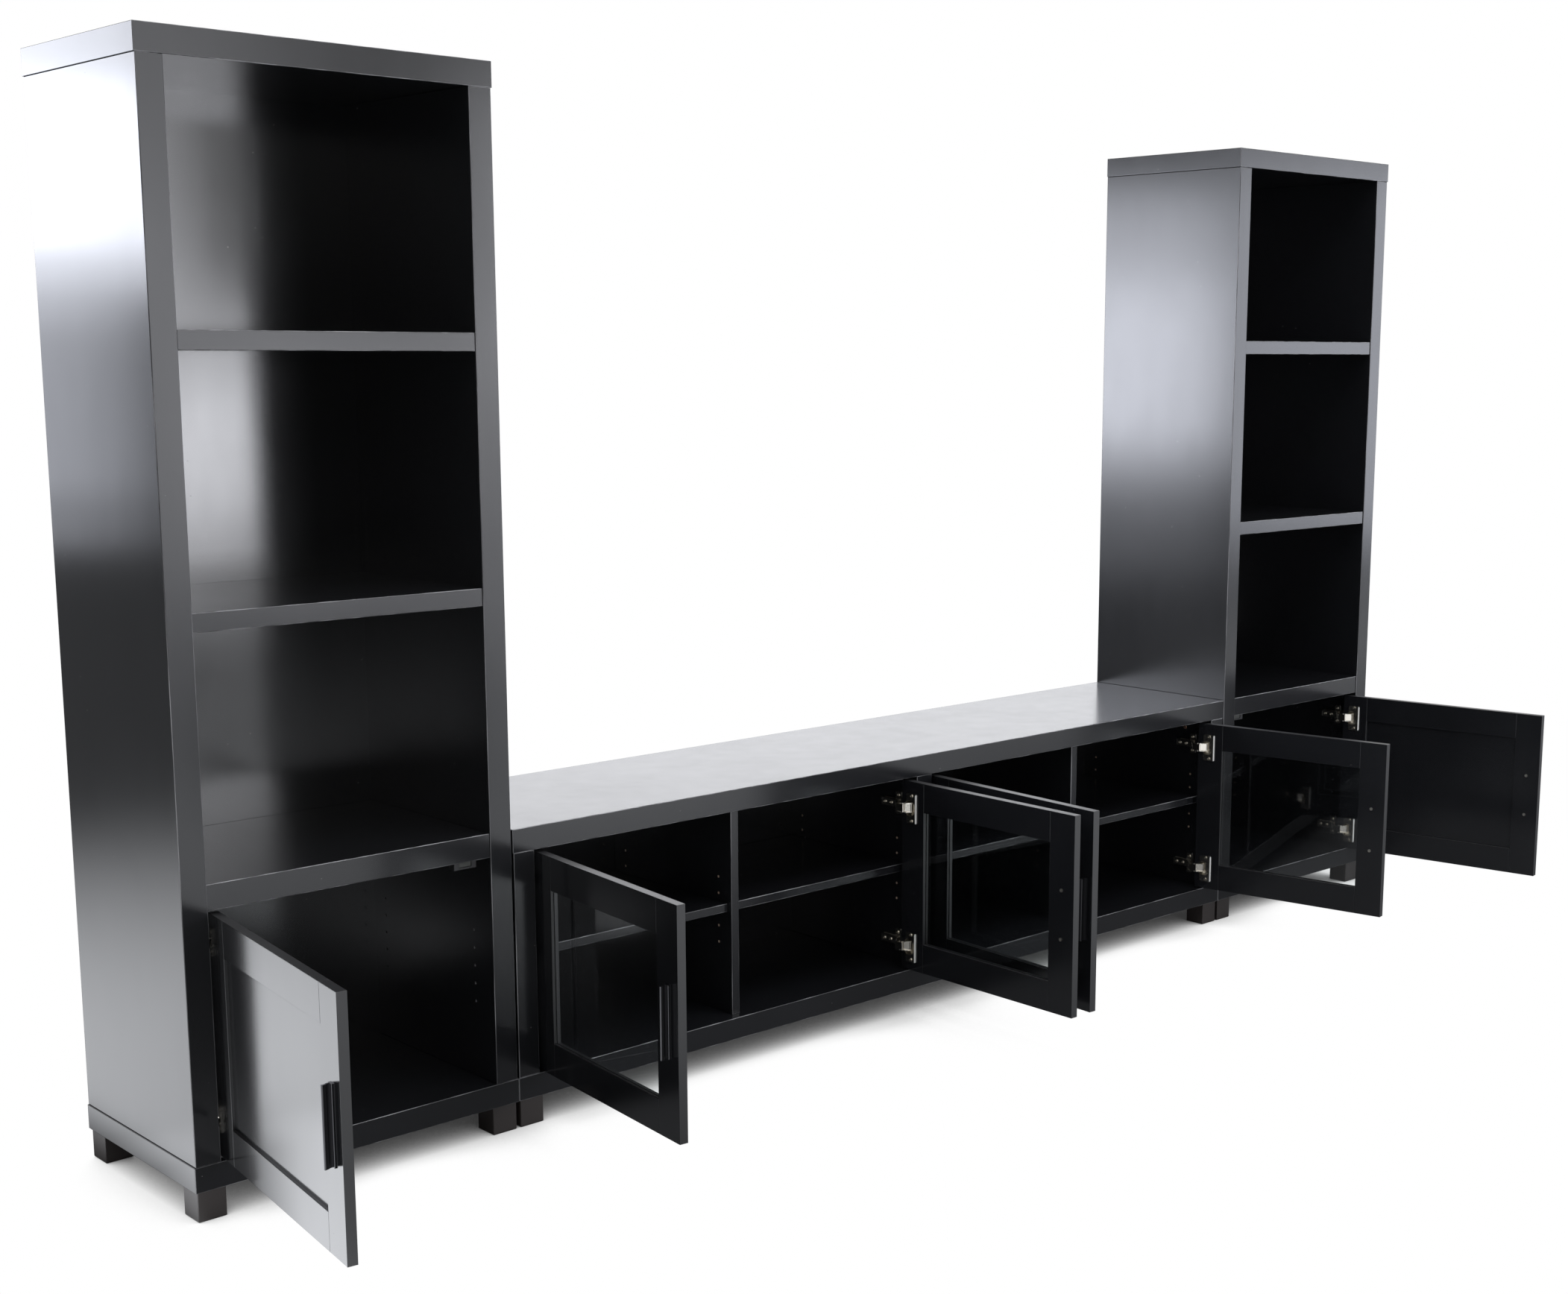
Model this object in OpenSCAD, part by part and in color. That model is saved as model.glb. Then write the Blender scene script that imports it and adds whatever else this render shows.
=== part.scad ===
// Living-room wall unit: a low media cabinet between two tall shelf towers.
// X runs along the wall, the fronts face -Y, Z is up from the floor.
// Every door is drawn in its open rest pose and turns on one vertical axis.

/* [Cabinets] */
// Width of the low middle cabinet
console_w = 2000; // [1400:10:2400]
// Height of the low middle cabinet
console_h = 536; // [440:1:640]
// Width of each tower
tower_w = 600; // [480:5:700]
// Height of each tower
tower_h = 1800; // [1400:10:2100]
// Depth of the cabinets from the front of the sides to the back
depth = 390; // [320:5:480]
// Gap between two cabinets that stand side by side
unit_gap = 0.5; // [0.2:0.1:3]

/* [Boards] */
// Thickness of the tops, sides, bases, divider and fixed shelves
board_t = 42; // [30:1:50]
// Thickness of the open tower shelves
open_shelf_t = 30; // [18:1:40]
// Thickness of the partition in each console bay
partition_t = 18; // [16:1:25]
// Thickness of the loose console shelves
loose_shelf_t = 16; // [12:1:22]
// Thickness of the back panels
back_t = 5; // [3:0.5:8]
// How far a back panel's rebate reaches into the boards round it
rebate_d = 8; // [5:1:12]
// How far the sides stand in from the ends of the top and the base
side_inset = 2; // [0:0.5:6]
// How far the top and the base stand proud of the sides at the front
front_lip = 1; // [0:0.5:4]
// How far the tower shelves stand back from the sides' fronts
shelf_setback = 2; // [0:0.5:10]
// How far the partitions stand back, behind the closed doors
partition_setback = 20; // [19:1:40]
// How far the loose console shelves stand back
loose_setback = 31; // [24:1:60]
// Side play of a loose shelf at each end
shelf_play = 1; // [0.5:0.5:2]
// Radius of the eased edges on the boards
ease_r = 1.2; // [0.5:0.1:2.5]

/* [Feet] */
// Width of a square foot
foot_w = 48; // [36:1:70]
// Height of a foot
foot_h = 50; // [30:1:90]
// How far a foot stands in from the edges of its base
foot_inset = 4; // [1:0.5:15]
// Radius round the lower edges of a foot
foot_r = 3; // [1:0.5:6]

/* [Doors] */
// Thickness of a door
door_t = 16; // [15:0.5:22]
// Gap below a closed door
gap_bottom = 2; // [2:0.5:6]
// Gap above a closed door
gap_top = 6; // [2:0.5:8]
// Gap beside a closed door
gap_side = 2; // [2:0.5:3]
// Gap between the closed doors of a pair
gap_pair = 3; // [2:0.5:6]
// How far a closed door stands back from the sides' fronts
door_setback = 2; // [1:0.5:4]
// Width of a stile
stile_w = 62; // [50:1:80]
// Height of a rail
rail_w = 60; // [45:1:80]
// Radius of the eased edges on stiles and rails
door_ease_r = 0.6; // [0.3:0.1:1.2]
// Thickness of a glass pane
glass_t = 4; // [3:0.5:5]
// Thickness of a tower door's panel
panel_t = 6; // [4:0.5:7]
// How far the pane or panel lies behind the door's outer face
infill_setback = 5; // [4:0.5:6]
// How far the pane or panel reaches into its groove
infill_depth = 8; // [5:0.5:10]
// Play between a pane or panel and its groove
groove_play = 0.2; // [0.1:0.1:0.4]

/* [Open angles at rest] */
// Left tower door
open_left_tower = 97.5; // [60:0.5:105]
// Outer left console door
open_door_1 = 96; // [60:0.5:105]
// Inner left console door
open_door_2 = 89.5; // [60:0.5:89.5]
// Inner right console door
open_door_3 = 93; // [60:0.5:93]
// Outer right console door
open_door_4 = 100; // [60:0.5:105]
// Right tower door
open_right_tower = 99; // [60:0.5:105]

/* [Hinges] */
// Distance of a door's axis from the wall that carries it
pivot_off = 13.5; // [13.5:0.5:15]
// Distance of the axis behind the door's outer face
pivot_in = 5.5; // [4:0.5:5.5]
// Height of the lower hinge above the door's lower end
hinge_low = 48; // [45:1:90]
// Distance of the upper hinge below the door's upper end
hinge_high = 56; // [45:1:90]
// Diameter of a hinge cup
cup_d = 35; // [35:1:35]
// Depth of the cup in the door
cup_depth = 12; // [11.5:0.1:12.5]
// Distance of the cup's centre from the door's edge
cup_edge = 22.5; // [22:0.5:24]
// Height of the cup's flange
flange_h = 62; // [60:1:64]
// Distance between the two flange screws
flange_pitch = 52; // [48:1:52]
// Width of a hinge arm
arm_w = 15; // [12:0.5:16]
// Distance of the mounting plate's screws from the sides' fronts
plate_y = 52; // [50:1:60]
// Distance between the two screws of a mounting plate
plate_pitch = 32; // [32:1:32]

/* [Handles] */
// Length of a handle
handle_l = 122; // [110:1:160]
// Distance between a handle's screws
handle_pitch = 96; // [64:32:96]
// How far a handle stands out from the door
handle_out = 16; // [14:0.5:18]
// Thickness of the handle's wave
handle_t = 2.8; // [2:0.1:4]

/* [Shelf pins] */
// Diameter of a pin hole
pin_hole_d = 5; // [5:0.5:6]
// Depth of a pin hole
pin_hole_l = 8; // [6:0.5:8]
// Distance between the holes of a row
pin_pitch = 32; // [32:1:32]
// Holes in a row
pin_rows = 5; // [3:2:5]
// Distance of the front row from the sides' fronts
pin_front = 58; // [50:1:90]
// Distance of the back row from the back
pin_back = 41; // [30:1:80]

/* [Hidden] */

ARC = 48;
CUT = 1;
// Air between pieces that touch, so that each is a solid of its own
HAIR = 0.05;
lacquer = [0.20, 0.205, 0.215];
panel_lacquer = [0.22, 0.22, 0.23];
nickel = [0.78, 0.76, 0.72];
dark_metal = [0.13, 0.13, 0.14];
pane_tint = [0.10, 0.12, 0.13, 0.45];
catch_grey = [0.45, 0.45, 0.46];
copper = [0.62, 0.38, 0.26];

// Heights that every cabinet shares
base_z = foot_h;
floor_z = foot_h + board_t;
ledge_z = console_h - board_t;
inner_z = ledge_z - floor_z;

// Console, measured from its middle
console_side_x = console_w / 2 - side_inset;
console_wall_x = console_side_x - board_t;
divider_x = board_t / 2;
bay_w = console_wall_x - divider_x;
bay_mid_x = divider_x + bay_w / 2;

// Left tower; the right one is its mirror image
tower_x = -(console_w / 2 + unit_gap + tower_w);
tower_wall_x = tower_x + side_inset + board_t;
tower_inner_w = tower_w - 2 * (side_inset + board_t);
tower_ledge_z = tower_h - board_t;
open_bay_h = (tower_ledge_z - console_h - 2 * open_shelf_t) / 3;

// Back panels
back_y = depth - back_t;

// Doors
door_z = floor_z + gap_bottom;
door_h = inner_z - gap_bottom - gap_top;
tower_door_w = tower_inner_w - 2 * gap_side;
glass_door_w = (bay_w - 2 * gap_side - gap_pair) / 2;
axis_y = door_setback + pivot_in;
axis_s = pivot_off - gap_side;
hinge_z = [door_z + hinge_low, door_z + door_h - hinge_high];
groove_d = infill_depth + groove_play;

// How far the open tower doors stand out in front; the whole is centred on Y = 0 with them
door_reach = (tower_door_w - axis_s) * sin(open_left_tower)
    - (door_t - pivot_in) * cos(open_left_tower) - axis_y;
front_y = (door_reach - depth) / 2;

// Shelf pins
pin_z = floor_z + inner_z / 2;
pin_d = pin_hole_d - 0.1;
pin_ys = [pin_front, depth - pin_back];

// ---- shared shapes ----

module rounded_outline(a, b, r) {
    translate([r, 0]) square([a - 2 * r, b]);
    translate([0, r]) square([a, b - 2 * r]);
    for (x = [r, a - r], y = [r, b - r]) translate([x, y]) circle(r = r, $fn = ARC);
}

// A board from corner p, of size s, with every edge eased
module eased(p, s, r = ease_r) {
    translate(p) intersection() {
        linear_extrude(s.z) rounded_outline(s.x, s.y, r);
        translate([0, s.y, 0]) rotate([90, 0, 0]) linear_extrude(s.y) rounded_outline(s.x, s.z, r);
        rotate([90, 0, 90]) linear_extrude(s.x) rounded_outline(s.y, s.z, r);
    }
}

// Puts a piece drawn from the sides' fronts where the cabinet stands
module placed() {
    translate([0, front_y, 0]) children();
}

module mirrored_if(flag) {
    if (flag) mirror([1, 0, 0]) children();
    else children();
}

// Room for a back panel behind an opening that starts at x, z
module back_room(x, w, z, h) {
    translate([x - rebate_d, back_y, z - rebate_d])
        cube([w + 2 * rebate_d, back_t + CUT, h + 2 * rebate_d]);
}

// Pin holes in the face at x, bored towards dir
module pin_holes(x, dir) {
    for (i = [0 : pin_rows - 1], y = pin_ys) {
        z = pin_z + (i - (pin_rows - 1) / 2) * pin_pitch;
        translate([x, y, z]) rotate([0, 90 * dir, 0]) {
            translate([0, 0, -CUT]) cylinder(d = pin_hole_d, h = pin_hole_l + CUT, $fn = 32);
        }
    }
}

// ---- towers ----

module tower_slab(z) {
    eased([tower_x, -front_lip, z], [tower_w, depth + front_lip, board_t]);
}

module tower_back_room() {
    back_room(tower_wall_x, tower_inner_w, floor_z, tower_ledge_z - floor_z);
}

module tower_top() {
    placed() color(lacquer) difference() {
        tower_slab(tower_ledge_z);
        tower_back_room();
    }
}

module tower_base() {
    placed() color(lacquer) difference() {
        tower_slab(base_z);
        tower_back_room();
    }
}

// dir is 1 for the side whose inner face looks towards +X
module tower_side(x, dir) {
    placed() color(lacquer) difference() {
        eased([x, 0, floor_z], [board_t, depth, tower_ledge_z - floor_z]);
        tower_back_room();
        pin_holes(dir > 0 ? x + board_t : x, -dir);
    }
}

module tower_outer_side() {
    tower_side(tower_x + side_inset, 1);
}

module tower_inner_side() {
    tower_side(tower_wall_x + tower_inner_w, -1);
}

module tower_back() {
    placed() color(lacquer)
        translate([tower_wall_x - rebate_d, back_y, floor_z - rebate_d])
            cube([tower_inner_w + 2 * rebate_d, back_t, tower_ledge_z - floor_z + 2 * rebate_d]);
}

module tower_open_shelves() {
    placed() color(lacquer) for (i = [1, 2]) {
        z = console_h + i * open_bay_h + (i - 1) * open_shelf_t;
        eased([tower_wall_x, shelf_setback, z], [tower_inner_w, back_y - shelf_setback, open_shelf_t]);
    }
}

module tower_fixed_shelf() {
    placed() color(lacquer)
        eased([tower_wall_x, shelf_setback, ledge_z], [tower_inner_w, back_y - shelf_setback, board_t]);
}

module feet(x, w) {
    placed() color(lacquer)
        for (fx = [x + foot_inset, x + w - foot_inset - foot_w],
             fy = [foot_inset - front_lip, depth - foot_inset - foot_w])
            translate([fx, fy, 0]) intersection() {
                linear_extrude(foot_h) rounded_outline(foot_w, foot_w, foot_r / 2);
                translate([0, foot_w, 0]) rotate([90, 0, 0])
                    linear_extrude(foot_w) foot_profile();
                rotate([90, 0, 90]) linear_extrude(foot_w) foot_profile();
            }
}

// Front view of a foot: only its lower corners are round
module foot_profile() {
    translate([0, foot_r]) square([foot_w, foot_h - foot_r]);
    translate([foot_r, 0]) square([foot_w - 2 * foot_r, foot_h]);
    for (x = [foot_r, foot_w - foot_r]) translate([x, foot_r]) circle(r = foot_r, $fn = ARC);
}

module tower_feet() {
    feet(tower_x, tower_w);
}

// Magnetic catch under the fixed shelf: a housing with a window, and the magnet in it
catch_size = [44, 15, 17];
catch_window = [25, 3, 10];
catch_gap = 2;
catch_side_gap = 16;

module tower_catch() {
    p = [
        tower_wall_x + tower_inner_w - catch_size.x - catch_side_gap,
        door_setback + door_t + catch_gap,
        ledge_z - catch_size.z
    ];
    window = p + [(catch_size.x - catch_window.x) / 2, 0, (catch_size.z - catch_window.z) / 2];
    placed() {
        color(catch_grey) difference() {
            eased(p, catch_size, 1);
            translate(window - [0, CUT, 0]) cube(catch_window + [0, CUT, 0]);
        }
        color(nickel) translate(window + [1, 1, 1]) cube(catch_window - [2, 1 + HAIR, 2]);
    }
}

// ---- console ----

module console_back_room() {
    for (x = [-console_wall_x, divider_x])
        back_room(x, bay_w, floor_z, inner_z);
}

module console_slab(z) {
    placed() color(lacquer) difference() {
        eased([-console_w / 2, -front_lip, z], [console_w, depth + front_lip, board_t]);
        console_back_room();
    }
}

module console_top() {
    console_slab(ledge_z);
}

module console_base() {
    console_slab(base_z);
}

module console_side(flip) {
    placed() color(lacquer) mirrored_if(flip) difference() {
        eased([-console_side_x, 0, floor_z], [board_t, depth, inner_z]);
        console_back_room();
        pin_holes(-console_wall_x, -1);
    }
}

module console_divider() {
    placed() color(lacquer) difference() {
        eased([-divider_x, 0, floor_z], [board_t, depth, inner_z]);
        console_back_room();
        for (dir = [-1, 1]) pin_holes(dir * divider_x, -dir);
    }
}

module console_partition(mid) {
    x = mid - partition_t / 2;
    placed() color(lacquer) difference() {
        eased([x, partition_setback, floor_z], [partition_t, back_y - partition_setback, inner_z]);
        pin_holes(x, 1);
        pin_holes(x + partition_t, -1);
    }
}

module console_back() {
    placed() color(lacquer) for (x = [-console_wall_x, divider_x])
        translate([x - rebate_d, back_y, floor_z - rebate_d])
            cube([bay_w + 2 * rebate_d, back_t, inner_z + 2 * rebate_d]);
}

module console_feet() {
    feet(-console_w / 2, console_w);
}

// Left edges of the four shelf bays
half_bay_w = (bay_w - partition_t) / 2;
half_bay_xs = [
    -console_wall_x, -bay_mid_x + partition_t / 2, divider_x, bay_mid_x + partition_t / 2
];

module console_shelves() {
    placed() color(lacquer) for (x = half_bay_xs)
        eased(
            [x + shelf_play, loose_setback, pin_z],
            [half_bay_w - 2 * shelf_play, back_y - loose_setback - shelf_play, loose_shelf_t]
        );
}

// A peg in its hole, and the half-round tongue that the shelf rests on
pin_tongue_l = 8;
pin_tongue_d = 8;
pin_collar_l = 0.8;

module shelf_pin() {
    translate([0, 0, -pin_hole_l + CUT]) cylinder(d = pin_d, h = pin_hole_l - CUT, $fn = 32);
    cylinder(d = pin_tongue_d, h = pin_collar_l, $fn = 32);
    difference() {
        cylinder(d = pin_tongue_d, h = pin_tongue_l, $fn = 32);
        translate([0, -pin_tongue_d, pin_collar_l])
            cube([pin_tongue_d, 2 * pin_tongue_d, pin_tongue_l]);
    }
}

module console_shelf_pins() {
    placed() color(nickel) for (x = half_bay_xs, y = pin_ys) {
        translate([x, y, pin_z]) rotate([0, 90, 0]) mirror([1, 0, 0]) shelf_pin();
        translate([x + half_bay_w, y, pin_z]) rotate([0, -90, 0]) shelf_pin();
    }
}

// Copper-coloured caps over the bolts that tie the top to the end walls
bolt_cap_d = 10;
bolt_cap_t = 1.5;
bolt_cap_drop = 26;
bolt_cap_y = 77;

module console_bolt_caps() {
    placed() color(copper) for (flip = [false, true])
        mirrored_if(flip) translate([-console_wall_x, bolt_cap_y, ledge_z - bolt_cap_drop])
            rotate([0, 90, 0]) cylinder(d1 = bolt_cap_d, d2 = bolt_cap_d - 2, h = bolt_cap_t, $fn = 32);
}

// ---- hinges ----

// The fixed half of one hinge on a wall face at X = 0, its axis at [pivot_off, axis_y]
plate_t = 2.5;
plate_l = 50;
wing_w = 15;
arm_t = 3.2;
arm_rise = 9;
// The nose stays clear of the circle that the door's back corner runs on
corner_r = norm([pivot_off - gap_side, door_t - pivot_in]);
nose_x = pivot_off + corner_r + arm_t / 2 + 0.6;
nose_y = axis_y + 0.6;
arm_bend_y = 28;
arm_root_y = plate_y - 4;
screw_d = 7;
screw_h = 1.4;
arm_screw_ys = [plate_y + 13, plate_y + 31];

module bar(p, q, w) {
    d = q - p;
    translate(p) rotate(atan2(d.y, d.x)) translate([0, -w / 2]) square([norm(d), w]);
    for (c = [p, q]) translate(c) circle(d = w, $fn = 24);
}

module screw_head(d = screw_d, h = screw_h) {
    difference() {
        cylinder(d = d, h = h, $fn = 24);
        for (a = [0, 90]) rotate(a) translate([-d * 0.3, -0.4, h - 0.6]) cube([d * 0.6, 0.8, 1]);
    }
}

module hinge_plate() {
    rotate([90, 0, 90]) linear_extrude(plate_t) {
        translate([plate_y - wing_w / 2, -plate_pitch / 2 - wing_w / 2])
            rounded_outline(wing_w, plate_pitch + wing_w, 3);
        translate([plate_y - wing_w / 2, -arm_w / 2 - 1]) rounded_outline(plate_l, arm_w + 2, 2);
    }
}

module hinge_arm() {
    root = [arm_rise, arm_root_y];
    end_y = plate_y - wing_w / 2 + plate_l - arm_t;
    difference() {
        translate([0, 0, -arm_w / 2]) linear_extrude(arm_w) {
            bar([nose_x, nose_y + arm_t / 2], [nose_x, arm_bend_y], arm_t);
            bar([nose_x, arm_bend_y], root, arm_t);
            bar(root, [arm_rise, end_y], arm_t);
        }
        // the waist behind the nose
        for (side = [-1, 1])
            translate([0, arm_bend_y + 6, side * (arm_w / 2 + 4)]) rotate([0, 90, 0])
                cylinder(r = 6.5, h = nose_x * 2, $fn = 32);
    }
    // two cheeks carry the arm on its plate
    for (side = [-1, 1])
        translate([plate_t + HAIR, arm_root_y, side * (arm_w / 2 - 1) - 1])
            cube([arm_rise - plate_t - HAIR, end_y - arm_root_y, 2]);
}

module hinge_arm_set() {
    hinge_plate();
    hinge_arm();
    for (side = [-1, 1])
        translate([plate_t + HAIR, plate_y, side * plate_pitch / 2]) rotate([0, 90, 0])
            screw_head();
    for (y = arm_screw_ys)
        translate([arm_rise + arm_t / 2 + HAIR, y, 0]) rotate([0, 90, 0]) screw_head();
}

module tower_hinge_arms() {
    placed() color(nickel) for (z = hinge_z) translate([tower_wall_x, 0, z]) hinge_arm_set();
}

module console_hinge_arms() {
    placed() color(nickel) for (flip = [false, true], x = [-console_wall_x, divider_x], z = hinge_z)
        mirrored_if(flip) translate([x, 0, z]) hinge_arm_set();
}

// The moving half of one hinge, in the door's own frame with the cup's centre at [0, 0]
// and the door's back face at Y = 0; -X points to the hinged edge
cup_wall = 0.9;
cup_play = 0.1;
flange_t = 1.3;
flange_near = 9;
flange_far = 19.5;
flange_screw_x = 5.5;
link_t = 1.6;
link_w = 4.4;
link_eye = 0.8;
link_z = arm_w / 2 + 0.6 + link_t / 2;
link_notch = 6;
link_pin_d = 3;
web_t = 1.2;
web_start = [-4.5, -5.5];
web_end = [-16.6, 2.8];
lip_t = 1.8;
lip_h = 3.4;
lip_end = 2;
link_path = [[-4, -7.8], [-10, 1.2], [-16.5, 4], [-cup_edge + 1.1, 4.8]];

module link_outline() {
    // a flat strip with a wider eye at each end, cut to one crooked outline
    for (i = [0 : len(link_path) - 2]) {
        d = link_path[i + 1] - link_path[i];
        translate(link_path[i]) rotate(atan2(d.y, d.x)) translate([0, -link_w / 2])
            square([norm(d), link_w]);
    }
    for (c = link_path) translate(c) circle(d = link_w + link_eye, $fn = 24);
}

module hinge_cup() {
    cup_r = cup_d / 2 - cup_play;
    difference() {
        union() {
            rotate([90, 0, 0]) cylinder(r = cup_r, h = cup_depth, $fn = 64);
            translate([-flange_near, flange_t, -flange_h / 2]) rotate([90, 0, 0])
                linear_extrude(flange_t) rounded_outline(flange_near + flange_far, flange_h, 4);
            // the far edge is turned up as a stiffening lip
            translate([flange_far - lip_t, 0, -flange_h / 2 + lip_end])
                cube([lip_t, lip_h, flange_h - 2 * lip_end]);
        }
        translate([0, flange_t + CUT, 0]) rotate([90, 0, 0])
            cylinder(r = cup_r - cup_wall, h = flange_t + CUT + cup_depth - cup_wall, $fn = 64);
        // notch that lets the links out
        translate([-cup_d, -link_notch, -link_z - link_t]) cube([cup_d, cup_d, 2 * (link_z + link_t)]);
    }
    for (side = [-1, 1])
        translate([flange_screw_x, flange_t + HAIR, side * flange_pitch / 2])
            rotate([-90, 0, 0]) screw_head();
    // the link: two cheeks, one each side of the arm, that reach from the cup to the arm's nose
    for (side = [-1, 1])
        translate([0, 0, side * link_z - link_t / 2]) linear_extrude(link_t)
            link_outline();
    // the pin and the web that join the cheeks, inside the circle that the nose runs on
    translate([link_path[0].x, link_path[0].y, -link_z])
        cylinder(d = link_pin_d, h = 2 * link_z, $fn = 24);
    web = web_end - web_start;
    translate([web_start.x, web_start.y, -link_z]) rotate(atan2(web.y, web.x))
        translate([0, -web_t / 2, 0]) cube([norm(web), web_t, 2 * link_z]);
}

// ---- doors ----

// Turns a door drawn closed at the wall face X = 0 to its open angle
module hung(wall_x, angle, flip) {
    mirrored_if(flip) translate([wall_x + pivot_off, front_y + axis_y, door_z])
        rotate(-angle) translate([-axis_s, -pivot_in, 0]) children();
}

module cup_places() {
    for (z = hinge_z) translate([cup_edge, door_t, z - door_z]) children();
}

module groove(s, w, t) {
    translate([s, infill_setback, -CUT]) cube([w, t + groove_play, door_h + 2 * CUT]);
}

module stile(s) {
    eased([s, 0, 0], [stile_w, door_t, door_h], door_ease_r);
}

module cup_bores() {
    cup_places() rotate([90, 0, 0]) translate([0, 0, -CUT])
        cylinder(d = cup_d, h = cup_depth + cup_play + CUT, $fn = 64);
}

// Centres of a handle's screws, on the door's outer face
module handle_screw_places(w) {
    for (side = [-1, 1])
        translate([w - stile_w / 2, 0, door_h / 2 + side * handle_pitch / 2]) rotate([-90, 0, 0])
            children();
}

// t is the thickness of the pane or panel that the frame holds
module door_frame(w, t) {
    rail_l = w - 2 * stile_w - 2 * HAIR;
    color(lacquer) {
        difference() {
            stile(0);
            groove(stile_w - groove_d, groove_d, t);
            cup_bores();
        }
        difference() {
            stile(w - stile_w);
            groove(w - stile_w, groove_d, t);
            handle_screw_places(w) translate([0, 0, -CUT])
                cylinder(d = handle_screw_d + 0.5, h = door_t + 2 * CUT, $fn = 24);
        }
        for (top = [0, 1]) {
            z = top * (door_h - rail_w);
            groove_z = top > 0 ? z : rail_w - groove_d;
            difference() {
                union() {
                    eased([stile_w + HAIR, 0, z], [rail_l, door_t, rail_w], door_ease_r);
                    // stub tenons in the stiles' grooves
                    translate([stile_w - infill_depth, infill_setback + groove_play / 2, z])
                        cube([rail_l + 2 * (infill_depth + HAIR), t, rail_w]);
                }
                translate([0, infill_setback, groove_z])
                    cube([w, t + groove_play, groove_d]);
            }
        }
    }
}

// The pane or panel, held in the grooves all round
module infill(w, t) {
    translate([
        stile_w - infill_depth, infill_setback + groove_play / 2, rail_w - infill_depth
    ])
        cube([
            w - 2 * (stile_w - infill_depth), t, door_h - 2 * (rail_w - infill_depth)
        ]);
}

module hinge_cups() {
    color(nickel) cup_places() hinge_cup();
}

// Section of the pull in [across, out]: a foot on the door, a wave and a beaded lip
handle_foot_w = 12;
handle_foot_t = 2.5;
handle_bead_d = 4;
handle_screw_d = 4;
wave_r = 9;

module handle_section() {
    // each bend of the wave turns through wave_a, so that the wave ends at handle_out
    rise = handle_out - handle_bead_d / 2 - handle_foot_t;
    wave_a = asin(rise / 2 / wave_r);
    shift = wave_r * (1 - cos(wave_a));
    translate([-handle_foot_w / 2, 0]) rounded_outline(handle_foot_w, handle_foot_t, 1);
    translate([-shift, handle_foot_t]) {
        translate([wave_r, 0]) bend(180 - wave_a, 180);
        translate([2 * shift - wave_r, rise]) bend(-wave_a, 0);
        translate([2 * shift, rise]) circle(d = handle_bead_d, $fn = 24);
        translate([-handle_t / 2, -handle_foot_t / 2]) square([handle_t, handle_foot_t / 2]);
    }
}

// A strip handle_t wide round an arc of wave_r, from angle a to angle b
module bend(a, b) {
    far = 2 * wave_r;
    intersection() {
        difference() {
            circle(r = wave_r + handle_t / 2, $fn = 96);
            circle(r = wave_r - handle_t / 2, $fn = 96);
        }
        polygon([[0, 0], far * [cos(a), sin(a)], far * [cos(b), sin(b)]]);
    }
}

module handle(w) {
    translate([w - stile_w / 2, 0, door_h / 2]) {
        color(dark_metal) translate([0, 0, -handle_l / 2])
            linear_extrude(handle_l) mirror([0, 1]) handle_section();
    }
    // screws from the door's back into the foot
    color(nickel) handle_screw_places(w) {
        translate([0, 0, HAIR]) cylinder(d = handle_screw_d, h = door_t, $fn = 24);
        translate([0, 0, door_t + HAIR]) screw_head();
    }
}

// Each door: wall face it hangs on, open angle, mirrored, width, infill thickness
LEFT_TOWER = [tower_wall_x, open_left_tower, false, tower_door_w, panel_t];
RIGHT_TOWER = [tower_wall_x, open_right_tower, true, tower_door_w, panel_t];
GLASS_1 = [-console_wall_x, open_door_1, false, glass_door_w, glass_t];
GLASS_2 = [divider_x, open_door_2, true, glass_door_w, glass_t];
GLASS_3 = [divider_x, open_door_3, false, glass_door_w, glass_t];
GLASS_4 = [-console_wall_x, open_door_4, true, glass_door_w, glass_t];

module hung_frame(d) hung(d[0], d[1], d[2]) door_frame(d[3], d[4]);
module hung_panel(d) hung(d[0], d[1], d[2]) color(panel_lacquer) infill(d[3], d[4]);
module hung_pane(d) hung(d[0], d[1], d[2]) color(pane_tint) infill(d[3], d[4]);
module hung_handle(d) hung(d[0], d[1], d[2]) handle(d[3]);
module hung_cups(d) hung(d[0], d[1], d[2]) hinge_cups();

tower_top();  // left_tower_top
tower_outer_side();  // left_tower_outer_side
tower_inner_side();  // left_tower_inner_side
tower_back();  // left_tower_back
tower_open_shelves();  // left_tower_open_shelves
tower_fixed_shelf();  // left_tower_fixed_shelf
tower_base();  // left_tower_base
tower_feet();  // left_tower_feet
tower_catch();  // left_tower_catch
tower_hinge_arms();  // left_tower_hinge_arms
mirror([1, 0, 0]) tower_top();  // right_tower_top
mirror([1, 0, 0]) tower_outer_side();  // right_tower_outer_side
mirror([1, 0, 0]) tower_inner_side();  // right_tower_inner_side
mirror([1, 0, 0]) tower_back();  // right_tower_back
mirror([1, 0, 0]) tower_open_shelves();  // right_tower_open_shelves
mirror([1, 0, 0]) tower_fixed_shelf();  // right_tower_fixed_shelf
mirror([1, 0, 0]) tower_base();  // right_tower_base
mirror([1, 0, 0]) tower_feet();  // right_tower_feet
mirror([1, 0, 0]) tower_catch();  // right_tower_catch
mirror([1, 0, 0]) tower_hinge_arms();  // right_tower_hinge_arms
console_top();
console_side(false);  // console_left_side
console_side(true);  // console_right_side
console_divider();
console_partition(-bay_mid_x);  // console_left_partition
console_partition(bay_mid_x);  // console_right_partition
console_back();
console_base();
console_feet();
console_shelves();
console_shelf_pins();
console_bolt_caps();
console_hinge_arms();
hung_frame(LEFT_TOWER);  // left_tower_door_frame
hung_panel(LEFT_TOWER);  // left_tower_door_panel
hung_handle(LEFT_TOWER);  // left_tower_door_handle
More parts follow.
